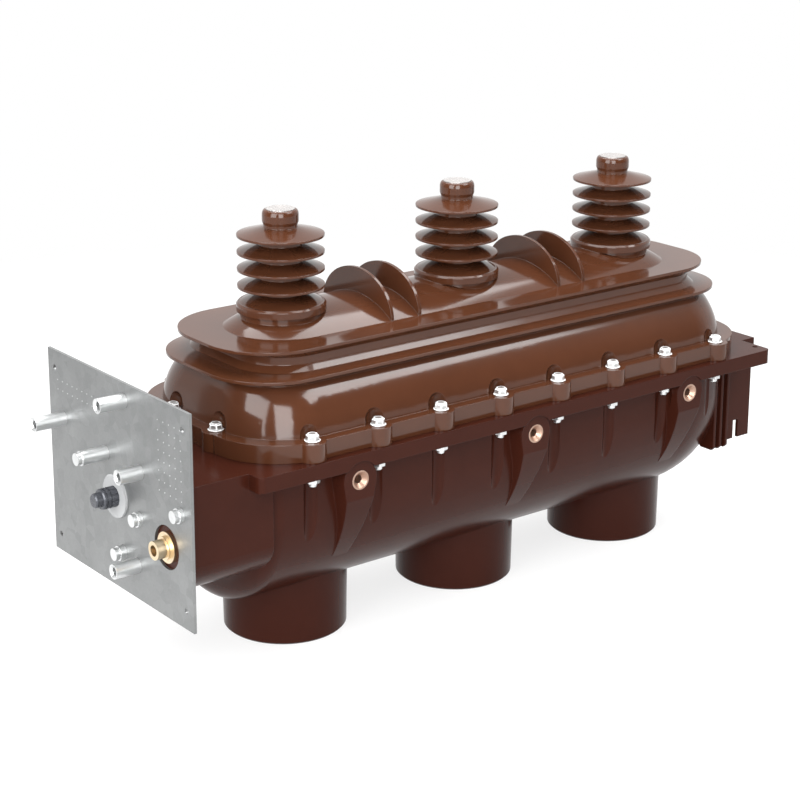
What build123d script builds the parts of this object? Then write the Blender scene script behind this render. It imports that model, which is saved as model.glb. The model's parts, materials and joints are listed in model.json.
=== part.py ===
from build123d import *
import os

# Three-pole gas-insulated load break switch, millimetres, +Z up, poles along X, front plate at -X.
# The middle lower bushing stands on the origin.

# Pole row
pole_pitch = 230.0
pole_count = 3

# Lower bushings, open at the bottom
cup_mouth_radius = 65.0
cup_root_radius = 66.5
cup_wall = 8.0
cup_depth = 50.0
cup_edge = 2.0

# Trough of the lower housing
trough_half_width = 120.0
trough_axis_z = 172.0
trough_left_x = -335.0
trough_end_x = 250.0
trough_left_round = 24.0

# Flange of the lower housing
joint_z = 226.0
flange_thickness = 16.0
flange_half_width = 140.0
flange_left_x = -352.0
flange_right_x = 357.0
flange_corner = 7.0
tongue_reach = 21.0
tongue_half_width = 95.0
tab_hole_radius = 3.0
tab_hole_inset_x = 7.0
tab_hole_y = 122.0

# Neck behind the front plate
neck_left_x = -425.0
neck_half_width = 121.0
neck_side_bottom_z = 145.0
neck_bottom_z = 110.0
neck_floor_half_width = 74.0
neck_corner_inset = 9.0
neck_corner_rise = 17.0
neck_lean = 0.15
neck_overlap = 11.0

# Side inserts, set a little nearer the plate than the poles, and their tapering bosses
insert_shift = -2.0
insert_z = 197.7
insert_radius = 10.0
insert_length = 22.0
insert_bore_radius = 4.25
insert_bore_depth = 16.0
insert_cone = 4.0
boss_radius = 20.0
boss_setback = 2.5
boss_bottom_z = 98.0
boss_tip_radius = 4.0
boss_rise = 6.0
boss_bed = 1.0
boss_root_y = 88.0
boss_draft = 7.0

# Pockets for the nuts in the sides of the trough
nut_pocket_radius = 9.0
nut_pocket_bottom_z = 118.0

# Short ribs and notched blades at the right end
rib_first_x = 304.0
rib_pitch = 10.0
rib_count = 3
rib_thickness = 3.5
rib_inner_y = 83.0
rib_outer_y = 106.0
rib_bottom_z = 103.5
rib_chamfer = 3.0
blade_inset = 1.7
blade_end_gap = 3.0
blade_bottom_z = 107.0
blade_notch_x = 352.5
blade_notch_width = 8.0
blade_notch_height = 22.0

# Rim of the upper housing
rim_height = 19.0
rim_half_length = 347.0
rim_half_width = 130.0
rim_corner = 76.0
bolt_boss_radius = 14.0
bolt_pitch = 80.0
bolts_a_side = 8
side_bolt_y = 124.0
end_bolt_x = 337.0
end_bolt_y = 40.0
bolt_pocket_radius = 13.0
bolt_pocket_height = 6.0

# Sloped wall of the upper housing: half length, half width, corner radius
wall_foot = (334.0, 118.0, 72.0)
wall_middle = (329.5, 111.0, 69.0)
wall_top = (321.0, 94.0, 62.0)
wall_middle_z = 270.0
wall_top_z = 292.0

# Skirts and the waist between them
waist = (303.0, 84.0, 52.0)
waist_flare = (310.0, 90.0, 57.0)
lower_skirt = (336.5, 103.0, 70.0)
lower_skirt_z = 297.0
upper_skirt = (330.0, 91.0, 72.0)
upper_skirt_z = 323.0
skirt_edge = 3.0
flare_height = 3.0
skirt_slope = 6.0

# Vaulted ridge and fins on the top plate
ridge_half_width = 60.0
ridge_rise = 18.5
fin_offset = 18.0
fin_thickness = 3.5
fin_half_width = 60.0
fin_height = 45.0

# Insulators, heights above the top plate
shed_radius = 44.7
shed_count = 4
shed_pitch = 17.5
shed_edge = 2.2
shed_drop = 3.0
shed_rise = 8.0
first_shed_rise = 41.5
pedestal_radius = 42.5
collar_rise = 16.0
collar_radius = 46.0
collar_height = 9.0
collar_chamfer = 2.0
core_radius = 23.0
cap_height = 27.0
cap_neck_radius = 17.5
cap_radius = 18.7
cap_flare = 3.0
cap_shoulder = 6.0
terminal_radius = 14.8
terminal_rim = 0.8
terminal_depth = 8.0

# Lower contacts, flush in the floors of the lower bushings
contact_radius = 22.0
contact_height = 10.0

# Front plate
plate_thickness = 3.0
plate_near_setback = 0.5
plate_far_setback = 9.5
plate_bottom_z = 89.0
plate_top_z = 306.0
plate_hole_radius = 3.0
plate_hole_inset_y = 13.0
plate_hole_inset_z = 18.5
cut_out_radius = 22.0

# Operating shaft and its disc
shaft_z = 185.0
shaft_radius = 10.5
shaft_reach = 25.7
shaft_depth = 40.0
shaft_tip_radius = 7.4
shaft_tip_length = 7.0
shaft_chamfer = 1.2
shaft_collar = 4.5
groove_depth = 1.2
groove_width = 1.6
spline_count = 12
spline_radius = 0.9
running_clearance = 0.05
plate_shaft_gap = 5.5
disc_radius = 22.0
disc_thickness = 2.5

# Filling fitting in the cut-out
fitting_y = -93.5
fitting_z = 161.3
fitting_flange_radius = 15.5
fitting_flange = 4.0
fitting_collar_radius = 11.5
fitting_collar = 3.0
fitting_tube_radius = 9.3
fitting_bore_radius = 5.5
fitting_reach = 13.5
fitting_bore_depth = 14.0

# Spacers on the plate, open or with a plain stud end: y, z, length
spacer_radius = 7.5
spacer_bore_radius = 4.25
spacer_bore_depth = 14.0
spacer_cone = 2.0
stud_radius = 6.3
stud_length = 5.0
open_spacers = {"long_spacer_1": (103.0, 237.0, 34.0), "long_spacer_2": (-20.0, 288.0, 29.0),
                "long_spacer_4": (-47.0, 223.0, 24.5), "long_spacer_5": (-37.0, 124.0, 27.0)}
stud_spacers = {"long_spacer_3": (19.0, 224.0, 33.0), "short_spacer_1": (-43.0, 174.0, 9.0),
                "short_spacer_2": (-120.0, 202.0, 9.0), "short_spacer_3": (-10.0, 129.0, 11.0)}

# Derived places
pole_x = [(i - (pole_count - 1) / 2) * pole_pitch for i in range(pole_count)]
flange_z = joint_z - flange_thickness
rim_top_z = joint_z + rim_height
top_plate_z = upper_skirt_z + skirt_edge
insert_x = [x + insert_shift for x in pole_x]
boss_reach = flange_half_width - boss_setback
first_shed_z = top_plate_z + first_shed_rise
terminal_top_z = first_shed_z + (shed_count - 1) * shed_pitch + cap_height
plate_near_y = plate_near_setback - flange_half_width
plate_far_y = flange_half_width - plate_far_setback
tongue_end_x = flange_right_x + tongue_reach
plate_front_x = neck_left_x - plate_thickness
base = (Align.CENTER, Align.CENTER, Align.MIN)


def rounded(size, z):
    half_length, half_width, corner = size
    return Pos(0, 0, z) * RectangleRounded(2 * half_length, 2 * half_width, corner)


def disc_along_x(radius, x_from, x_to, y, z):
    """A round bar from x_from to x_to."""
    return Pos(x_from, y, z) * Rot(0, 90, 0) * Cylinder(radius, x_to - x_from, align=base)


def insulator():
    """Revolved insulator with its collar, sheds and cap."""
    z = top_plate_z + collar_rise
    points = [(0, top_plate_z), (pedestal_radius, top_plate_z), (pedestal_radius, z), (collar_radius, z),
              (collar_radius, z + collar_height - collar_chamfer),
              (collar_radius - collar_chamfer, z + collar_height), (core_radius, z + collar_height)]
    for i in range(shed_count):
        edge_z = first_shed_z + i * shed_pitch
        root = cap_neck_radius if i == shed_count - 1 else core_radius
        points += [(core_radius, edge_z - shed_drop), (shed_radius, edge_z - shed_edge / 2),
                   (shed_radius, edge_z + shed_edge / 2), (root, edge_z + shed_rise)]
    z = edge_z + shed_rise
    shoulder_z = terminal_top_z - cap_shoulder
    points += [(cap_neck_radius, z + cap_flare), (cap_radius, z + 2 * cap_flare), (cap_radius, shoulder_z)]
    rim = terminal_radius + terminal_rim
    shoulder = EllipticalCenterArc((rim, shoulder_z), cap_radius - rim, cap_shoulder - terminal_rim, arc_size=90)
    seat_z = terminal_top_z - terminal_depth
    inner = Polyline(shoulder @ 1, (terminal_radius, terminal_top_z - terminal_rim), (terminal_radius, seat_z),
                     (0, seat_z), (0, top_plate_z))
    return revolve(Plane.XZ * make_face(Polyline(points) + shoulder + inner), Axis.Z)


def ridge():
    """Vault along the row of poles with ball-shaped ends."""
    arc = ThreePointArc((-ridge_half_width, 0), (0, ridge_rise), (ridge_half_width, 0))
    section = make_face(arc + Line(arc @ 1, arc @ 0))
    body = Pos(pole_x[0], 0, top_plate_z) * extrude(Plane.YZ * section, pole_x[-1] - pole_x[0])
    ball_radius = (ridge_half_width ** 2 + ridge_rise ** 2) / (2 * ridge_rise)
    ball = Pos(0, 0, ridge_rise - ball_radius) * Sphere(ball_radius)
    dome = ball & Cylinder(ridge_half_width, ridge_rise, align=base)
    for x in (pole_x[0], pole_x[-1]):
        body += Pos(x, 0, top_plate_z) * dome
    return body


def upper_housing():
    body = extrude(rounded((rim_half_length, rim_half_width, rim_corner), joint_z), rim_height)
    for x, y in cover_bolts():
        body += Pos(x, y, joint_z) * Cylinder(bolt_boss_radius, rim_height, align=base)
    wall = loft([rounded(wall_foot, rim_top_z), rounded(wall_middle, wall_middle_z), rounded(wall_top, wall_top_z)])
    pocket = Cylinder(bolt_pocket_radius, bolt_pocket_height, align=base)
    pocket += Pos(0, 0, bolt_pocket_height) * Sphere(bolt_pocket_radius)
    for x, y in cover_bolts():
        wall -= Pos(x, y, rim_top_z) * pocket
    body += wall
    edge_z = lower_skirt_z + skirt_edge
    waist_z = edge_z + flare_height + skirt_slope
    body += loft([rounded(wall_top, wall_top_z), rounded(lower_skirt, lower_skirt_z), rounded(lower_skirt, edge_z),
                  rounded(waist_flare, edge_z + flare_height), rounded(waist, waist_z)], ruled=True)
    body += loft([rounded(waist, waist_z), rounded(waist, upper_skirt_z - skirt_slope),
                  rounded(upper_skirt, upper_skirt_z), rounded(upper_skirt, top_plate_z)], ruled=True)
    body += ridge()
    for left, right in zip(pole_x, pole_x[1:]):
        for x in ((left + right) / 2 - fin_offset, (left + right) / 2 + fin_offset):
            fin = extrude(Plane.YZ * Ellipse(fin_half_width, fin_height), fin_thickness / 2, both=True)
            body += split(Pos(x, 0, top_plate_z) * fin, Plane.XY.offset(top_plate_z), keep=Keep.TOP)
    for x in pole_x:
        body += Pos(x, 0, 0) * insulator()
    return body


def side_bolt_x():
    return [(i - (bolts_a_side - 1) / 2) * bolt_pitch for i in range(bolts_a_side)]


def cover_bolts():
    """Places of the bolts that hold the two housings together."""
    places = [(x, y) for x in side_bolt_x() for y in (-side_bolt_y, side_bolt_y)]
    return places + [(x, y) for x in (-end_bolt_x, end_bolt_x) for y in (-end_bolt_y, end_bolt_y)]


def trough():
    """Round-bottomed trough with a square left end and a ball-shaped right end."""
    height = joint_z - trough_axis_z
    section = Pos(0, height / 2) * Rectangle(2 * trough_half_width, height)
    section += Circle(trough_half_width) & Pos(0, -trough_half_width / 2) * Rectangle(
        2 * trough_half_width, trough_half_width)
    run = Pos(trough_left_x, 0, trough_axis_z) * extrude(Plane.YZ * section, trough_end_x - trough_left_x)
    run = fillet(run.faces().sort_by(Axis.X)[0].edges(), trough_left_round)
    bowl = Sphere(trough_half_width, arc_size1=-90, arc_size2=0, align=(Align.CENTER, Align.CENTER, Align.MAX))
    end = Pos(trough_end_x, 0, trough_axis_z) * (bowl + Cylinder(trough_half_width, height, align=base))
    return run + end


def neck():
    """Neck from the trough to the front plate, with a rounded floor."""
    low, floor = neck_bottom_z, neck_floor_half_width
    wide, side = neck_half_width, neck_side_bottom_z
    corner_y, corner_z = wide - neck_corner_inset, low + neck_corner_rise
    outline = Polyline((-floor, low), (floor, low))
    outline += Spline((floor, low), (corner_y, corner_z), (wide, side), tangents=((1, 0), (neck_lean, 1)))
    outline += Polyline((wide, side), (wide, joint_z), (-wide, joint_z), (-wide, side))
    outline += Spline((-wide, side), (-corner_y, corner_z), (-floor, low), tangents=((neck_lean, -1), (1, 0)))
    length = trough_left_x + neck_overlap - neck_left_x
    return Pos(neck_left_x, 0, 0) * extrude(Plane.YZ * make_face(outline), length)


def wall_y(z):
    """Half width of the trough below its axis."""
    return (trough_half_width ** 2 - (trough_axis_z - z) ** 2) ** 0.5


def along_y(radius, length, x, y, side):
    """A round bar that runs from y towards the middle plane."""
    return Pos(x, side * y, insert_z) * Rot(side * 90, 0, 0) * Cylinder(radius, length, align=base)


def side_boss(x, side):
    """Boss below the flange that tapers to a point low on the trough."""
    drum = (Pos(0, insert_z) * Circle(boss_radius)).edges()
    tip = (Pos(0, boss_bottom_z + boss_tip_radius) * Circle(boss_tip_radius)).edges()
    top_z = insert_z - boss_radius
    middle_z = (top_z + boss_bottom_z) / 2
    front = ThreePointArc((side * (wall_y(boss_bottom_z) - boss_bed), boss_bottom_z),
                          (side * (wall_y(middle_z) + boss_rise), middle_z), (side * boss_reach, top_z))
    keep = make_face(front + Polyline(front @ 1, (side * boss_reach, flange_z), (0, flange_z), (0, boss_bottom_z),
                                      front @ 0))
    block = extrude(Plane.XZ * make_hull(drum + tip), boss_reach - boss_root_y, taper=-boss_draft)
    block = Pos(0, -boss_reach, 0) * mirror(block, Plane.XZ)
    block = block if side < 0 else mirror(block, Plane.XZ)
    return Pos(x, 0, 0) * (block & extrude(Plane.YZ * keep, 2 * boss_radius, both=True))


def end_ribs():
    """Short ribs on each side of the ball end, and the notched blades under the tongue."""
    middle_z = (flange_z + rib_bottom_z) / 2
    pieces = []
    for side in (-1, 1):
        outline = Pos(side * (rib_inner_y + rib_outer_y) / 2, middle_z) * Rectangle(
            rib_outer_y - rib_inner_y, flange_z - rib_bottom_z)
        outline = chamfer(outline.vertices().group_by(Axis.Y)[0], rib_chamfer)
        for i in range(rib_count):
            pieces.append(Pos(rib_first_x + i * rib_pitch, 0, 0) * extrude(Plane.YZ * outline, rib_thickness))
        y = side * (tongue_half_width - blade_inset)
        blade = Pos(rib_first_x, y, blade_bottom_z) * Box(
            tongue_end_x - blade_end_gap - rib_first_x, rib_thickness, flange_z - blade_bottom_z,
            align=(Align.MIN, Align.CENTER, Align.MIN))
        pieces.append(blade - Pos(blade_notch_x, y, blade_bottom_z) * Box(
            blade_notch_width, 2 * rib_thickness, 2 * blade_notch_height))
    return pieces


def cup():
    """Lower bushing with a chamfered mouth."""
    top_z = trough_axis_z / 2
    outline = make_face(Polyline((0, 0), (cup_mouth_radius, 0), (cup_root_radius, top_z), (0, top_z), close=True))
    corner = outline.vertices().sort_by_distance((cup_mouth_radius, 0))[0]
    return revolve(Plane.XZ * chamfer(corner, cup_edge), Axis.Z)


def flange():
    middle = (flange_left_x + flange_right_x) / 2
    body = Pos(middle, 0, flange_z) * extrude(
        RectangleRounded(flange_right_x - flange_left_x, 2 * flange_half_width, flange_corner), flange_thickness)
    body += Pos(trough_end_x, 0, flange_z) * Box(tongue_end_x - trough_end_x, 2 * tongue_half_width,
                                                 flange_thickness, align=(Align.MIN, Align.CENTER, Align.MIN))
    for side in (-1, 1):
        body -= Pos(flange_right_x - tab_hole_inset_x, side * tab_hole_y, flange_z) * Cylinder(
            tab_hole_radius, flange_thickness, align=base)
        for x in insert_x:
            body -= along_y(boss_radius, boss_setback, x, flange_half_width, side)
    return body


def lower_housing():
    body = trough()
    for side in (-1, 1):
        for x in insert_x:
            body += side_boss(x, side)
    for x in side_bolt_x():
        for y in (-side_bolt_y, side_bolt_y):
            body -= Pos(x, y, nut_pocket_bottom_z) * Cylinder(nut_pocket_radius, joint_z - nut_pocket_bottom_z,
                                                              align=base)
    for piece in [neck(), flange(), *end_ribs()]:
        body += piece
    for x in pole_x:
        body += Pos(x, 0, 0) * cup()
        body -= Pos(x, 0, 0) * Cylinder(cup_mouth_radius - cup_wall, cup_depth, align=base)
        body -= lower_contact(x)
    for side in (-1, 1):
        for x in insert_x:
            body -= along_y(insert_radius, insert_length, x, boss_reach, side)
    return body - disc_along_x(shaft_radius + running_clearance, neck_left_x, neck_left_x + shaft_depth, 0, shaft_z)


def lower_contact(x):
    return Pos(x, 0, cup_depth) * Cylinder(contact_radius, contact_height, align=base)


def side_insert(x, side):
    """Brass insert with a conical mouth and a blind threaded hole."""
    body = Cylinder(insert_radius, insert_length, align=base)
    body -= Cylinder(insert_bore_radius, insert_bore_depth, align=base)
    body -= Cone(insert_bore_radius + insert_cone, insert_bore_radius, insert_cone, align=base)
    return Pos(x, side * boss_reach, insert_z) * Rot(side * 90, 0, 0) * body


def front_plate():
    body = Pos(plate_front_x, (plate_near_y + plate_far_y) / 2, plate_bottom_z) * Box(
        plate_thickness, plate_far_y - plate_near_y, plate_top_z - plate_bottom_z,
        align=(Align.MIN, Align.CENTER, Align.MIN))
    for y in (plate_near_y + plate_hole_inset_y, plate_far_y - plate_hole_inset_y):
        for z in (plate_bottom_z + plate_hole_inset_z, plate_top_z - plate_hole_inset_z):
            body -= disc_along_x(plate_hole_radius, plate_front_x, neck_left_x, y, z)
    body -= disc_along_x(cut_out_radius, plate_front_x, neck_left_x, fitting_y, fitting_z)
    return body - disc_along_x(shaft_radius + plate_shaft_gap, plate_front_x, neck_left_x, 0, shaft_z)


def open_spacer(y, z, length):
    """Round spacer on the plate with a threaded hole and a conical mouth in its free end."""
    end = plate_front_x - length
    body = disc_along_x(spacer_radius, end, plate_front_x, y, z)
    body -= disc_along_x(spacer_bore_radius, end, end + spacer_bore_depth, y, z)
    return body - Pos(end, y, z) * Rot(0, 90, 0) * Cone(
        spacer_bore_radius + spacer_cone, spacer_bore_radius, spacer_cone, align=base)


def stud_spacer(y, z, length):
    """Round spacer that ends in a thinner plain stud."""
    end = plate_front_x - length
    return (disc_along_x(spacer_radius, end + stud_length, plate_front_x, y, z)
            + disc_along_x(stud_radius, end, plate_front_x, y, z))


def operating_shaft():
    """Shaft with a stepped tip, two ring grooves and splines between them and the disc."""
    tip = plate_front_x - shaft_reach
    shoulder = tip + shaft_tip_length
    end = neck_left_x + shaft_depth
    low = shaft_radius - groove_depth
    points = [(tip, 0), (tip, shaft_tip_radius - shaft_chamfer), (tip + shaft_chamfer, shaft_tip_radius),
              (shoulder, shaft_tip_radius), (shoulder, shaft_radius - shaft_chamfer),
              (shoulder + shaft_chamfer, shaft_radius)]
    start = shoulder + shaft_chamfer + groove_width
    for i in range(2):
        groove_end = start + groove_width
        points += [(start, shaft_radius), (start, low), (groove_end, low), (groove_end, shaft_radius)]
        start += shaft_collar
    points += [(end, shaft_radius), (end, 0)]
    body = revolve(make_face(Polyline(points, close=True)), Axis.X)
    splined = Pos(groove_end, shaft_radius, 0) * Rot(0, 90, 0) * Cylinder(
        spline_radius, plate_front_x - disc_thickness - groove_end, align=base)
    for i in range(spline_count):
        body -= Rot(360 * i / spline_count, 0, 0) * splined
    return Pos(0, 0, shaft_z) * body


def shaft_disc():
    front = plate_front_x - disc_thickness
    body = disc_along_x(disc_radius, front, plate_front_x, 0, shaft_z)
    return body - disc_along_x(shaft_radius + running_clearance, front, plate_front_x, 0, shaft_z)


def filling_fitting():
    seat = neck_left_x - fitting_flange
    tip = seat - fitting_reach
    body = disc_along_x(fitting_flange_radius, seat, neck_left_x, fitting_y, fitting_z)
    body += disc_along_x(fitting_collar_radius, seat - fitting_collar, seat, fitting_y, fitting_z)
    body += disc_along_x(fitting_tube_radius, tip, seat, fitting_y, fitting_z)
    return body - disc_along_x(fitting_bore_radius, tip, tip + fitting_bore_depth, fitting_y, fitting_z)


os.makedirs("parts", exist_ok=True)
export_step(upper_housing(), "parts/upper_housing.step")
export_step(lower_housing(), "parts/lower_housing.step")
export_step(front_plate(), "parts/front_plate.step")
export_step(operating_shaft(), "parts/operating_shaft.step")
export_step(shaft_disc(), "parts/shaft_disc.step")
export_step(filling_fitting(), "parts/filling_fitting.step")
for i, x in enumerate(pole_x, 1):
    terminal = Pos(x, 0, terminal_top_z - terminal_depth) * Cylinder(terminal_radius, terminal_depth, align=base)
    export_step(terminal, f"parts/top_terminal_{i}.step")
    export_step(lower_contact(x), f"parts/lower_contact_{i}.step")
for i, x in enumerate(insert_x, 1):
    export_step(side_insert(x, -1), f"parts/near_insert_{i}.step")
    export_step(side_insert(x, 1), f"parts/far_insert_{i}.step")
for name, place in open_spacers.items():
    export_step(open_spacer(*place), f"parts/{name}.step")
for name, place in stud_spacers.items():
    export_step(stud_spacer(*place), f"parts/{name}.step")
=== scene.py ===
import json
import math

import bmesh
import bpy
from mathutils import Matrix, Vector


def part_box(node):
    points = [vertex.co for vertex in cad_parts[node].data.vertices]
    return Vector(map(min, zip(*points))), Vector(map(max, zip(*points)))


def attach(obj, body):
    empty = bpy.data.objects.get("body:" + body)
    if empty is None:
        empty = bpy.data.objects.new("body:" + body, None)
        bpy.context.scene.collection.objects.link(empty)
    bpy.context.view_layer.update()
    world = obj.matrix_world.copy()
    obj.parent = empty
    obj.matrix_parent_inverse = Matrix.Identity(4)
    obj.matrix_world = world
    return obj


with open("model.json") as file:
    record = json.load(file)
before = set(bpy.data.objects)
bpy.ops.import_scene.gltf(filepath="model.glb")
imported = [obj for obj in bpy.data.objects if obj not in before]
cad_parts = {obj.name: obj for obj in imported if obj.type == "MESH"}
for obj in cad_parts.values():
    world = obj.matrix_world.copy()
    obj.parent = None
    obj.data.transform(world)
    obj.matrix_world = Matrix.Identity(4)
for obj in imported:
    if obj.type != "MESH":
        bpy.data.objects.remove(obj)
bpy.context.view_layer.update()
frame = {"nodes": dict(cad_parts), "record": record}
HOUSING = "housing"

# Places on the castings and the plate, in metres
POLE_PITCH = 0.230
POLE_X = (-POLE_PITCH, 0.0, POLE_PITCH)
PLATE_FRONT = round(min(corner.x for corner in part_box("front_plate")), 6)
BOLT_PITCH = 0.080
SIDE_BOLTS = 8
SIDE_BOLT_Y = 0.124
END_BOLT_X = 0.337
END_BOLT_Y = 0.040
RIM_TOP = 0.245
FLANGE_UNDERSIDE = 0.210
COLLAR_TOP = 0.351

# Cover fasteners: a washer, a hexagon and a thread end, each with its base above the seat
BOLT_SIZES = {"Washer Radius": 0.0080, "Washer Height": 0.0014, "Washer Base": 0.0,
              "Hex Radius": 0.0068, "Hex Height": 0.0054, "Hex Base": 0.0014,
              "End Radius": 0.0048, "End Height": 0.0010, "End Base": 0.0066}
NUT_SIZES = {"Washer Radius": 0.0082, "Washer Height": 0.0016, "Washer Base": -0.0016,
             "Hex Radius": 0.0074, "Hex Height": 0.0062, "Hex Base": -0.0078,
             "End Radius": 0.0039, "End Height": 0.0040, "End Base": -0.0116}
BOLT_BEVEL = 0.0009
NUT_BEVEL = 0.0004
BOLT_SEED = 3
NUT_SEED = 8
SHARP_ANGLE = 0.7
BEVEL_PROFILE = 0.6

# Plate dimples, in fields of (first Y, columns, first Z, rows)
DIMPLE_FIELDS = ((-0.123, 5, 0.216, 8), (0.042, 8, 0.266, 2))
DIMPLE_PITCH = 0.010
DIMPLE_SIZES = {"Radius": 0.0006, "Height": 0.0004}

# Cones on the insulators' collars
CONE_SIZES = {"Foot Radius": 0.0438, "Top Radius": 0.0229, "Height": 0.009}
CONE_SINK = 0.0005
CONE_SMOOTH_ANGLE = 0.5

# Sides of the round shapes
WASHER_SIDES, HEX_SIDES, THREAD_SIDES, DIMPLE_SIDES, CONE_SIDES = 28, 6, 16, 10, 72

# Shares of the finer textures, and how much rougher dull zinc and tarnish are
STAIN_SHARE = 0.45
GRAIN_SHARE = 0.01
SPANGLE_SHARE = 0.22
SPECK_SHARE = 0.25
DULL_ROUGHNESS = 0.16
TARNISH_ROUGHNESS = 0.2
BEVEL_SAMPLES = 4

# Camera fitted to the photograph
CAMERA_PLACE = (-1.32143, -1.60465, 0.88042)
CAMERA_FORWARD = (0.59271, 0.76443, -0.25365)
CAMERA_RIGHT = (0.79081, -0.61205, 0.00334)
CAMERA_LENS = 88.78
CAMERA_SENSOR = 36
CAMERA_SHIFT = -0.15
CAMERA_REACH = 50

# Light, backdrop and floor
LIGHT_TARGET = Vector((0, 0, 0.2))
BACKDROP_SIDE = (0.61, 0.79, 0.0)
BACKDROP_START, BACKDROP_FULL = -0.15, 0.35
ROOM_LEVEL = 0.12
WORLD_LIGHT = 1.1
WHITE = (1, 1, 1, 1)
FLOOR_LIT = (0.50, 0.50, 0.50, 1)
FLOOR_WHITE = 0.72
FLOOR_HALF = 12.0
FLOOR_FADE_START, FLOOR_FADE_END = 0.5, 1.6

COLOUR, NUMBER, VECTOR = "NodeSocketColor", "NodeSocketFloat", "NodeSocketVector"
MATERIAL, WHOLE_NUMBER, GEOMETRY = "NodeSocketMaterial", "NodeSocketInt", "NodeSocketGeometry"

# Places of the colour sockets on a Mix node, whose names repeat
MIX_FIRST, MIX_SECOND, MIX_RESULT = 6, 7, 2


# Node helpers

def add_node(tree, kind, inputs=None, **settings):
    node = tree.nodes.new(kind)
    for name, value in settings.items():
        setattr(node, name, value)
    for name, value in (inputs or {}).items():
        node.inputs[name].default_value = value
    return node


def connect(tree, source, output, target, socket):
    tree.links.new(source.outputs[output], target.inputs[socket])


def multiply_add(tree, source, output, factor, addend, addend_output):
    """The source times a fixed factor, plus the addend."""
    node = add_node(tree, "ShaderNodeMath", {1: factor}, operation="MULTIPLY_ADD")
    connect(tree, source, output, node, 0)
    connect(tree, addend, addend_output, node, 2)
    return node


def stretch(tree, source, output, low, high):
    """Brings the range from low to high to 0 to 1."""
    node = add_node(tree, "ShaderNodeMapRange", {"From Min": low, "From Max": high})
    connect(tree, source, output, node, "Value")
    return node


# Shader groups shared by the finishes

def new_group(name, inputs, outputs):
    """An empty shader group with its named sockets."""
    tree = bpy.data.node_groups.new(name, "ShaderNodeTree")
    for socket, kind, value in inputs:
        made = tree.interface.new_socket(socket, in_out="INPUT", socket_type=kind)
        made.default_value = value
    for socket, kind in outputs:
        tree.interface.new_socket(socket, in_out="OUTPUT", socket_type=kind)
    return tree, tree.nodes.new("NodeGroupInput"), tree.nodes.new("NodeGroupOutput")


def new_surface_group(name, second_colour, *extra):
    """A group that turns a position and two colours into colour, roughness and height."""
    return new_group(
        name,
        [("Position", VECTOR, (0, 0, 0)), ("Colour", COLOUR, WHITE), (second_colour, COLOUR, WHITE),
         ("Polish", NUMBER, 0.3)] + [(socket, NUMBER, value) for socket, value in extra],
        [("Colour", COLOUR), ("Roughness", NUMBER), ("Height", NUMBER)])


def noise(tree, start, scale, detail, roughness=0.5):
    """Noise on the piece's own position."""
    texture = add_node(tree, "ShaderNodeTexNoise", {"Scale": scale, "Detail": detail, "Roughness": roughness})
    connect(tree, start, "Position", texture, "Vector")
    return texture


def blend_colours(tree, start, end, factor, second_colour):
    """Puts out the group's two colours, mixed by the factor."""
    mix = add_node(tree, "ShaderNodeMix", data_type="RGBA")
    connect(tree, factor, "Result", mix, "Factor")
    connect(tree, start, "Colour", mix, MIX_FIRST)
    connect(tree, start, second_colour, mix, MIX_SECOND)
    connect(tree, mix, MIX_RESULT, end, "Colour")


def build_cast_resin():
    """Cast resin: slow colour drift, faint flow marks, polish that varies, and a slight ripple."""
    tree, start, end = new_surface_group("cast_resin", "Drift Colour", ("Polish Spread", 0.1))
    drift = noise(tree, start, scale=7.0, detail=3.0, roughness=0.55)
    stain = noise(tree, start, scale=55.0, detail=4.0, roughness=0.6)
    ripple = noise(tree, start, scale=28.0, detail=2.0, roughness=0.4)
    grain = noise(tree, start, scale=900.0, detail=1.0)
    both = multiply_add(tree, stain, "Fac", STAIN_SHARE, drift, "Fac")
    blend_colours(tree, start, end, stretch(tree, both, "Value", low=0.55, high=0.95), "Drift Colour")
    rough = add_node(tree, "ShaderNodeMath", operation="MULTIPLY_ADD")
    connect(tree, stain, "Fac", rough, 0)
    connect(tree, start, "Polish Spread", rough, 1)
    connect(tree, start, "Polish", rough, 2)
    connect(tree, rough, "Value", end, "Roughness")
    height = multiply_add(tree, grain, "Fac", GRAIN_SHARE, ripple, "Fac")
    connect(tree, height, "Value", end, "Height")
    return tree


def build_zinc_coat():
    """Zinc coating: soft spangle patches, clouds and fine specks."""
    tree, start, end = new_surface_group("zinc_coat", "Dull Colour", ("Spangle", 60.0))
    cells = add_node(tree, "ShaderNodeTexVoronoi", {"Randomness": 1.0}, feature="F1")
    connect(tree, start, "Position", cells, "Vector")
    connect(tree, start, "Spangle", cells, "Scale")
    tone = add_node(tree, "ShaderNodeSeparateColor")
    connect(tree, cells, "Color", tone, "Color")
    cloud = noise(tree, start, scale=11.0, detail=4.0, roughness=0.6)
    speck = noise(tree, start, scale=420.0, detail=2.0)
    patch = multiply_add(tree, tone, "Red", SPANGLE_SHARE, cloud, "Fac")
    dust = multiply_add(tree, speck, "Fac", SPECK_SHARE, patch, "Value")
    dullness = stretch(tree, dust, "Value", low=0.45, high=1.05)
    blend_colours(tree, start, end, dullness, "Dull Colour")
    rough = multiply_add(tree, dullness, "Result", DULL_ROUGHNESS, start, "Polish")
    connect(tree, rough, "Value", end, "Roughness")
    connect(tree, dust, "Value", end, "Height")
    return tree


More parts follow.
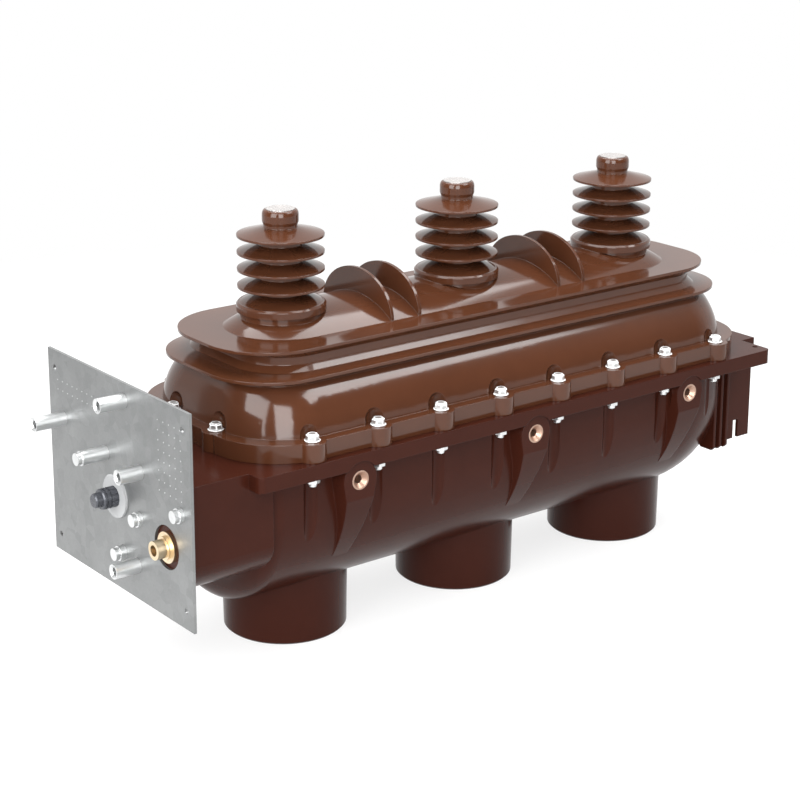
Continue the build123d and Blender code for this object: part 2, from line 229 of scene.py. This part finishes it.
def build_turned_metal():
    """Turned metal: fine rings left by the tool, with a little tarnish."""
    tree, start, end = new_surface_group("turned_metal", "Tarnish Colour", ("Ring Scale", 400.0))
    rings = add_node(tree, "ShaderNodeTexWave", {"Distortion": 0.4, "Detail": 1.0}, bands_direction="X")
    connect(tree, start, "Position", rings, "Vector")
    connect(tree, start, "Ring Scale", rings, "Scale")
    cloud = noise(tree, start, scale=90.0, detail=4.0, roughness=0.6)
    tarnish = stretch(tree, cloud, "Fac", low=0.5, high=0.8)
    blend_colours(tree, start, end, tarnish, "Tarnish Colour")
    rough = multiply_add(tree, tarnish, "Result", TARNISH_ROUGHNESS, start, "Polish")
    connect(tree, rough, "Value", end, "Roughness")
    connect(tree, rings, "Fac", end, "Height")
    return tree


GROUPS = {"cast_resin": build_cast_resin(), "zinc_coat": build_zinc_coat(),
          "turned_metal": build_turned_metal()}


# Finishes

def make_finish(name, group, values, bump, edge=None, **constants):
    """A material that takes its colour, roughness and bump from one shared group."""
    material = bpy.data.materials.new(name)
    material.use_nodes = True
    tree = material.node_tree
    shader = tree.nodes["Principled BSDF"]
    for socket, value in constants.items():
        shader.inputs[socket.replace("_", " ")].default_value = value
    place = add_node(tree, "ShaderNodeTexCoord")
    surface = add_node(tree, "ShaderNodeGroup", node_tree=GROUPS[group])
    for socket, value in values.items():
        surface.inputs[socket].default_value = value
    connect(tree, place, "Object", surface, "Position")
    connect(tree, surface, "Colour", shader, "Base Color")
    connect(tree, surface, "Roughness", shader, "Roughness")
    strength, distance = bump
    relief = add_node(tree, "ShaderNodeBump", {"Strength": strength, "Distance": distance})
    connect(tree, surface, "Height", relief, "Height")
    if edge:
        rounding = add_node(tree, "ShaderNodeBevel", {"Radius": edge}, samples=BEVEL_SAMPLES)
        connect(tree, rounding, "Normal", relief, "Normal")
    connect(tree, relief, "Normal", shader, "Normal")
    return material


UPPER_RESIN = make_finish(
    "upper_cast_resin", "cast_resin",
    {"Colour": (0.061, 0.021, 0.0098, 1), "Drift Colour": (0.053, 0.018, 0.0083, 1),
     "Polish": 0.07, "Polish Spread": 0.10},
    bump=(0.12, 0.0003), edge=0.0012, Specular_IOR_Level=0.40)
LOWER_RESIN = make_finish(
    "lower_cast_resin", "cast_resin",
    {"Colour": (0.034, 0.0085, 0.0048, 1), "Drift Colour": (0.030, 0.0072, 0.0040, 1),
     "Polish": 0.17, "Polish Spread": 0.12},
    bump=(0.08, 0.0003), edge=0.0014, Specular_IOR_Level=0.09)
ZINC_SHEET = make_finish(
    "galvanised_sheet", "zinc_coat",
    {"Colour": (0.27, 0.275, 0.275, 1), "Dull Colour": (0.205, 0.21, 0.21, 1),
     "Spangle": 90.0, "Polish": 0.32},
    bump=(0.10, 0.0001), Metallic=0.85)
BRIGHT_ZINC = make_finish(
    "bright_zinc", "turned_metal",
    {"Colour": (0.67, 0.68, 0.68, 1), "Tarnish Colour": (0.60, 0.61, 0.61, 1),
     "Ring Scale": 60.0, "Polish": 0.30},
    bump=(0.02, 0.00002), Metallic=0.92)
BRASS = make_finish(
    "turned_brass", "turned_metal",
    {"Colour": (0.75, 0.61, 0.42, 1), "Tarnish Colour": (0.66, 0.51, 0.31, 1),
     "Ring Scale": 90.0, "Polish": 0.28},
    bump=(0.04, 0.00003), Metallic=1.0)
COPPER_BRASS = make_finish(
    "reddish_brass", "turned_metal",
    {"Colour": (0.43, 0.285, 0.22, 1), "Tarnish Colour": (0.32, 0.19, 0.135, 1),
     "Ring Scale": 90.0, "Polish": 0.38},
    bump=(0.1, 0.00005), Metallic=0.9)
SILVER_FACE = make_finish(
    "silvered_face", "turned_metal",
    {"Colour": (0.46, 0.44, 0.43, 1), "Tarnish Colour": (0.36, 0.34, 0.33, 1),
     "Ring Scale": 60.0, "Polish": 0.42},
    bump=(0.02, 0.00002), Metallic=0.9)
SHAFT_BLACK = make_finish(
    "blackened_steel", "turned_metal",
    {"Colour": (0.068, 0.071, 0.081, 1), "Tarnish Colour": (0.042, 0.045, 0.052, 1),
     "Ring Scale": 300.0, "Polish": 0.26},
    bump=(0.1, 0.00005), Metallic=0.5)
PALE_PLASTIC = make_finish(
    "pale_washer", "cast_resin",
    {"Colour": (0.30, 0.305, 0.308, 1), "Drift Colour": (0.27, 0.275, 0.28, 1),
     "Polish": 0.40, "Polish Spread": 0.15},
    bump=(0.1, 0.0002))

FINISHES = {"upper_resin": UPPER_RESIN, "lower_resin": LOWER_RESIN, "galvanised": ZINC_SHEET,
            "silver_face": SILVER_FACE, "brass": BRASS, "copper_insert": COPPER_BRASS,
            "shaft_black": SHAFT_BLACK, "pale_disc": PALE_PLASTIC}


def dress_frame():
    """Each CAD node takes the finish of its record slot, and the spacers a brighter zinc."""
    slots = {part["node"]: part["material_slot"] for part in frame["record"]["subparts"]}
    for node, piece in frame["nodes"].items():
        finish = BRIGHT_ZINC if "spacer" in node else FINISHES[slots[node]]
        piece.data.materials.clear()
        piece.data.materials.append(finish)


# Geometry trees for what repeats

def geometry_tree(name, sizes, *extra):
    """An empty tree whose inputs are the points, the named sizes and the finish."""
    tree = bpy.data.node_groups.new(name, "GeometryNodeTree")
    tree.interface.new_socket("Geometry", in_out="INPUT", socket_type=GEOMETRY)
    numbers = [(size, NUMBER, value) for size, value in sizes.items()]
    for socket, kind, value in [*numbers, *extra, ("Finish", MATERIAL, None)]:
        tree.interface.new_socket(socket, in_out="INPUT", socket_type=kind).default_value = value
    tree.interface.new_socket("Geometry", in_out="OUTPUT", socket_type=GEOMETRY)
    return tree, tree.nodes.new("NodeGroupInput"), tree.nodes.new("NodeGroupOutput")


def set_on_points(tree, start, end, shape, output):
    """Puts the shape on every point, makes the copies real and gives them the finish."""
    place = add_node(tree, "GeometryNodeInstanceOnPoints")
    connect(tree, start, "Geometry", place, "Points")
    connect(tree, shape, output, place, "Instance")
    real = add_node(tree, "GeometryNodeRealizeInstances")
    connect(tree, place, "Instances", real, "Geometry")
    paint = add_node(tree, "GeometryNodeSetMaterial")
    connect(tree, real, "Geometry", paint, "Geometry")
    connect(tree, start, "Finish", paint, "Material")
    connect(tree, paint, "Geometry", end, "Geometry")
    return place


def raised_prism(tree, start, layer, sides):
    """A prism with the radius, height and base of one layer of a fastener."""
    prism = add_node(tree, "GeometryNodeMeshCylinder", {"Vertices": sides})
    connect(tree, start, f"{layer} Radius", prism, "Radius")
    connect(tree, start, f"{layer} Height", prism, "Depth")
    middle = multiply_add(tree, start, f"{layer} Height", 0.5, start, f"{layer} Base")
    lift = add_node(tree, "ShaderNodeCombineXYZ")
    connect(tree, middle, "Value", lift, "Z")
    move = add_node(tree, "GeometryNodeTransform")
    connect(tree, prism, "Mesh", move, "Geometry")
    connect(tree, lift, "Vector", move, "Translation")
    return move


def fastener_tree():
    """A washer, a hexagon and a thread end on every point, turned at random about their axis."""
    tree, start, end = geometry_tree("fasteners", BOLT_SIZES, ("Seed", WHOLE_NUMBER, BOLT_SEED))
    stack = add_node(tree, "GeometryNodeJoinGeometry")
    for layer, sides in (("Washer", WASHER_SIDES), ("Hex", HEX_SIDES), ("End", THREAD_SIDES)):
        connect(tree, raised_prism(tree, start, layer, sides), "Geometry", stack, "Geometry")
    turn = add_node(tree, "FunctionNodeRandomValue", {0: (0, 0, 0), 1: (0, 0, 2 * math.pi)},
                    data_type="FLOAT_VECTOR")
    connect(tree, start, "Seed", turn, "Seed")
    place = set_on_points(tree, start, end, stack, "Geometry")
    connect(tree, turn, 0, place, "Rotation")
    return tree


def dimple_tree():
    """A thin disc that faces along X, on every point."""
    tree, start, end = geometry_tree("dimples", DIMPLE_SIZES)
    disc = add_node(tree, "GeometryNodeMeshCylinder", {"Vertices": DIMPLE_SIDES})
    connect(tree, start, "Radius", disc, "Radius")
    connect(tree, start, "Height", disc, "Depth")
    turned = add_node(tree, "GeometryNodeTransform", {"Rotation": (0, math.pi / 2, 0)})
    connect(tree, disc, "Mesh", turned, "Geometry")
    set_on_points(tree, start, end, turned, "Geometry")
    return tree


def cone_tree():
    """A cone with a flat top, standing on every point."""
    tree, start, end = geometry_tree("collar_cones", CONE_SIZES)
    cone = add_node(tree, "GeometryNodeMeshCone", {"Vertices": CONE_SIDES})
    connect(tree, start, "Top Radius", cone, "Radius Top")
    connect(tree, start, "Foot Radius", cone, "Radius Bottom")
    connect(tree, start, "Height", cone, "Depth")
    set_on_points(tree, start, end, cone, "Mesh")
    return tree


def grow(name, points, tree, values):
    """A piece whose plain mesh is what the tree makes on the points."""
    mesh = bpy.data.meshes.new(name)
    mesh.from_pydata(points, [], [])
    piece = bpy.data.objects.new(name, mesh)
    bpy.context.collection.objects.link(piece)
    modifier = piece.modifiers.new("grow", "NODES")
    modifier.node_group = tree
    sockets = {item.name: item.identifier for item in tree.interface.items_tree if item.in_out == "INPUT"}
    for socket, value in values.items():
        modifier[sockets[socket]] = value
    bpy.context.view_layer.update()
    evaluated = piece.evaluated_get(bpy.context.evaluated_depsgraph_get())
    piece_mesh = bpy.data.meshes.new_from_object(evaluated)
    piece.modifiers.remove(modifier)
    piece.data = piece_mesh
    piece_mesh.name = name
    return piece


def soften(mesh, width):
    """Small bevels on the sharp edges of a plain mesh."""
    shape = bmesh.new()
    shape.from_mesh(mesh)
    sharp = [e for e in shape.edges if e.is_manifold and e.calc_face_angle(0) > SHARP_ANGLE]
    bmesh.ops.bevel(shape, geom=sharp, offset=width, segments=1, profile=BEVEL_PROFILE, affect="EDGES")
    shape.to_mesh(mesh)
    shape.free()


# Cover bolts and nuts

def side_bolt_places():
    """(x, y) of the bolts along both long sides."""
    middle = (SIDE_BOLTS - 1) / 2
    return [((i - middle) * BOLT_PITCH, side * SIDE_BOLT_Y) for side in (-1, 1) for i in range(SIDE_BOLTS)]


def end_bolt_places():
    """(x, y) of the two bolts at each end."""
    return [(x, y) for x in (-END_BOLT_X, END_BOLT_X) for y in (-END_BOLT_Y, END_BOLT_Y)]


def cover_fasteners():
    """Bolt heads on the rim, and nuts in the pockets below the flange at the sides."""
    tree = fastener_tree()
    seats = [(x, y, RIM_TOP) for x, y in side_bolt_places() + end_bolt_places()]
    heads = grow("cover_bolts", seats, tree, {**BOLT_SIZES, "Seed": BOLT_SEED, "Finish": BRIGHT_ZINC})
    soften(heads.data, BOLT_BEVEL)
    pockets = [(x, y, FLANGE_UNDERSIDE) for x, y in side_bolt_places()]
    nuts = grow("cover_nuts", pockets, tree, {**NUT_SIZES, "Seed": NUT_SEED, "Finish": BRIGHT_ZINC})
    soften(nuts.data, NUT_BEVEL)
    for piece in (heads, nuts):
        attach(piece, HOUSING)


# Small dimples in the front plate

def dimple_grid(first_y, columns, first_z, rows):
    """Places of one field of dimples on the plate's face."""
    return [(PLATE_FRONT, first_y + i * DIMPLE_PITCH, first_z + j * DIMPLE_PITCH)
            for i in range(columns) for j in range(rows)]


def plate_dimples():
    places = [place for field in DIMPLE_FIELDS for place in dimple_grid(*field)]
    piece = grow("plate_dimples", places, dimple_tree(), {**DIMPLE_SIZES, "Finish": BRIGHT_ZINC})
    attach(piece, HOUSING)


# Conical tops of the insulators' collars

def collar_cones():
    feet = [(x, 0, COLLAR_TOP - CONE_SINK) for x in POLE_X]
    piece = grow("collar_cones", feet, cone_tree(), {**CONE_SIZES, "Finish": UPPER_RESIN})
    piece.data.shade_smooth()
    piece.data.set_sharp_from_angle(angle=CONE_SMOOTH_ANGLE)
    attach(piece, HOUSING)


# Camera, light and backdrop

def place_camera():
    camera = bpy.data.objects.new("camera", bpy.data.cameras.new("camera"))
    bpy.context.collection.objects.link(camera)
    forward, right = Vector(CAMERA_FORWARD), Vector(CAMERA_RIGHT)
    turn = Matrix((right, right.cross(forward), -forward)).transposed()
    camera.matrix_world = Matrix.Translation(CAMERA_PLACE) @ turn.to_4x4()
    camera.data.lens = CAMERA_LENS
    camera.data.sensor_width = CAMERA_SENSOR
    camera.data.shift_y = CAMERA_SHIFT
    camera.data.clip_end = CAMERA_REACH
    bpy.context.scene.camera = camera


def soft_box(name, azimuth, elevation, distance, width, height, radiance):
    """Area light seen from the part at the given angles in degrees, turned towards it."""
    light = bpy.data.lights.new(name, "AREA")
    light.shape = "RECTANGLE"
    light.size = width
    light.size_y = height
    light.energy = radiance * math.pi * width * height
    lamp = bpy.data.objects.new(name, light)
    bpy.context.collection.objects.link(lamp)
    around, up = math.radians(azimuth), math.radians(elevation)
    away = Vector((math.cos(around) * math.cos(up), math.sin(around) * math.cos(up), math.sin(up)))
    lamp.location = LIGHT_TARGET + away * distance
    lamp.rotation_euler = (-away).to_track_quat("-Z", "Y").to_euler()


def seen_directly(tree, path):
    """1 for what the camera, a mirror or glass sees, 0 for light that falls on the part."""
    first = add_node(tree, "ShaderNodeMath", operation="MAXIMUM")
    connect(tree, path, "Is Camera Ray", first, 0)
    connect(tree, path, "Is Glossy Ray", first, 1)
    both = add_node(tree, "ShaderNodeMath", operation="MAXIMUM")
    connect(tree, first, "Value", both, 0)
    connect(tree, path, "Is Transmission Ray", both, 1)
    return both


def build_world():
    """White backdrop behind the part and a dim room on the camera's side."""
    world = bpy.data.worlds.new("studio")
    world.use_nodes = True
    bpy.context.scene.world = world
    tree = world.node_tree
    tree.nodes.clear()
    path = add_node(tree, "ShaderNodeLightPath")
    place = add_node(tree, "ShaderNodeTexCoord")
    side = add_node(tree, "ShaderNodeVectorMath", {1: BACKDROP_SIDE}, operation="DOT_PRODUCT")
    connect(tree, place, "Generated", side, 0)
    room = stretch(tree, side, "Value", BACKDROP_START, BACKDROP_FULL)
    room.inputs["To Min"].default_value = ROOM_LEVEL
    lit = add_node(tree, "ShaderNodeMath", {1: WORLD_LIGHT}, operation="MULTIPLY")
    connect(tree, room, "Result", lit, 0)
    shown = add_node(tree, "ShaderNodeMapRange")
    connect(tree, seen_directly(tree, path), "Value", shown, "Value")
    connect(tree, lit, "Value", shown, "To Min")
    connect(tree, room, "Result", shown, "To Max")
    strength = add_node(tree, "ShaderNodeMapRange")
    connect(tree, path, "Is Camera Ray", strength, "Value")
    connect(tree, shown, "Result", strength, "To Min")
    background = add_node(tree, "ShaderNodeBackground", {"Color": WHITE})
    connect(tree, strength, "Result", background, "Strength")
    output = add_node(tree, "ShaderNodeOutputWorld")
    connect(tree, background, "Background", output, "Surface")


def floor_finish():
    """Pale floor whose shadow shows near the part and fades to plain white away from it."""
    material = bpy.data.materials.new("floor_white")
    material.use_nodes = True
    tree = material.node_tree
    shader = tree.nodes["Principled BSDF"]
    shader.inputs["Roughness"].default_value = 0.9
    shader.inputs["Specular IOR Level"].default_value = 0.0
    seen = seen_directly(tree, add_node(tree, "ShaderNodeLightPath"))
    tone = add_node(tree, "ShaderNodeMix", {MIX_FIRST: FLOOR_LIT, MIX_SECOND: WHITE}, data_type="RGBA")
    connect(tree, seen, "Value", tone, "Factor")
    connect(tree, tone, MIX_RESULT, shader, "Base Color")
    white = add_node(tree, "ShaderNodeEmission", {"Color": WHITE, "Strength": 1.0})
    place = add_node(tree, "ShaderNodeTexCoord")
    reach = add_node(tree, "ShaderNodeVectorMath", operation="LENGTH")
    connect(tree, place, "Object", reach, 0)
    fade = stretch(tree, reach, "Value", FLOOR_FADE_START, FLOOR_FADE_END)
    fade.inputs["To Min"].default_value = FLOOR_WHITE
    share = add_node(tree, "ShaderNodeMath", operation="MULTIPLY")
    connect(tree, fade, "Result", share, 0)
    connect(tree, seen, "Value", share, 1)
    both = add_node(tree, "ShaderNodeMixShader")
    connect(tree, share, "Value", both, "Fac")
    connect(tree, shader, "BSDF", both, 1)
    connect(tree, white, "Emission", both, 2)
    connect(tree, both, "Shader", tree.nodes["Material Output"], "Surface")
    return material


def build_floor():
    mesh = bpy.data.meshes.new("floor")
    corners = [(x * FLOOR_HALF, y * FLOOR_HALF, 0) for x, y in ((-1, -1), (1, -1), (1, 1), (-1, 1))]
    mesh.from_pydata(corners, [], [(0, 1, 2, 3)])
    mesh.materials.append(floor_finish())
    floor = bpy.data.objects.new("floor", mesh)
    bpy.context.collection.objects.link(floor)


dress_frame()
cover_fasteners()
plate_dimples()
collar_cones()
place_camera()
build_world()
build_floor()
soft_box("front_window", azimuth=236, elevation=20, distance=3.4, width=1.5, height=3.0, radiance=9.0)
soft_box("left_window", azimuth=192, elevation=24, distance=3.0, width=1.7, height=2.6, radiance=7.4)
soft_box("right_strip", azimuth=310, elevation=50, distance=3.2, width=1.8, height=0.9, radiance=9.9)
soft_box("top", azimuth=60, elevation=80, distance=2.9, width=3.2, height=2.8, radiance=5.8)
bpy.context.scene.view_settings.view_transform = "Standard"
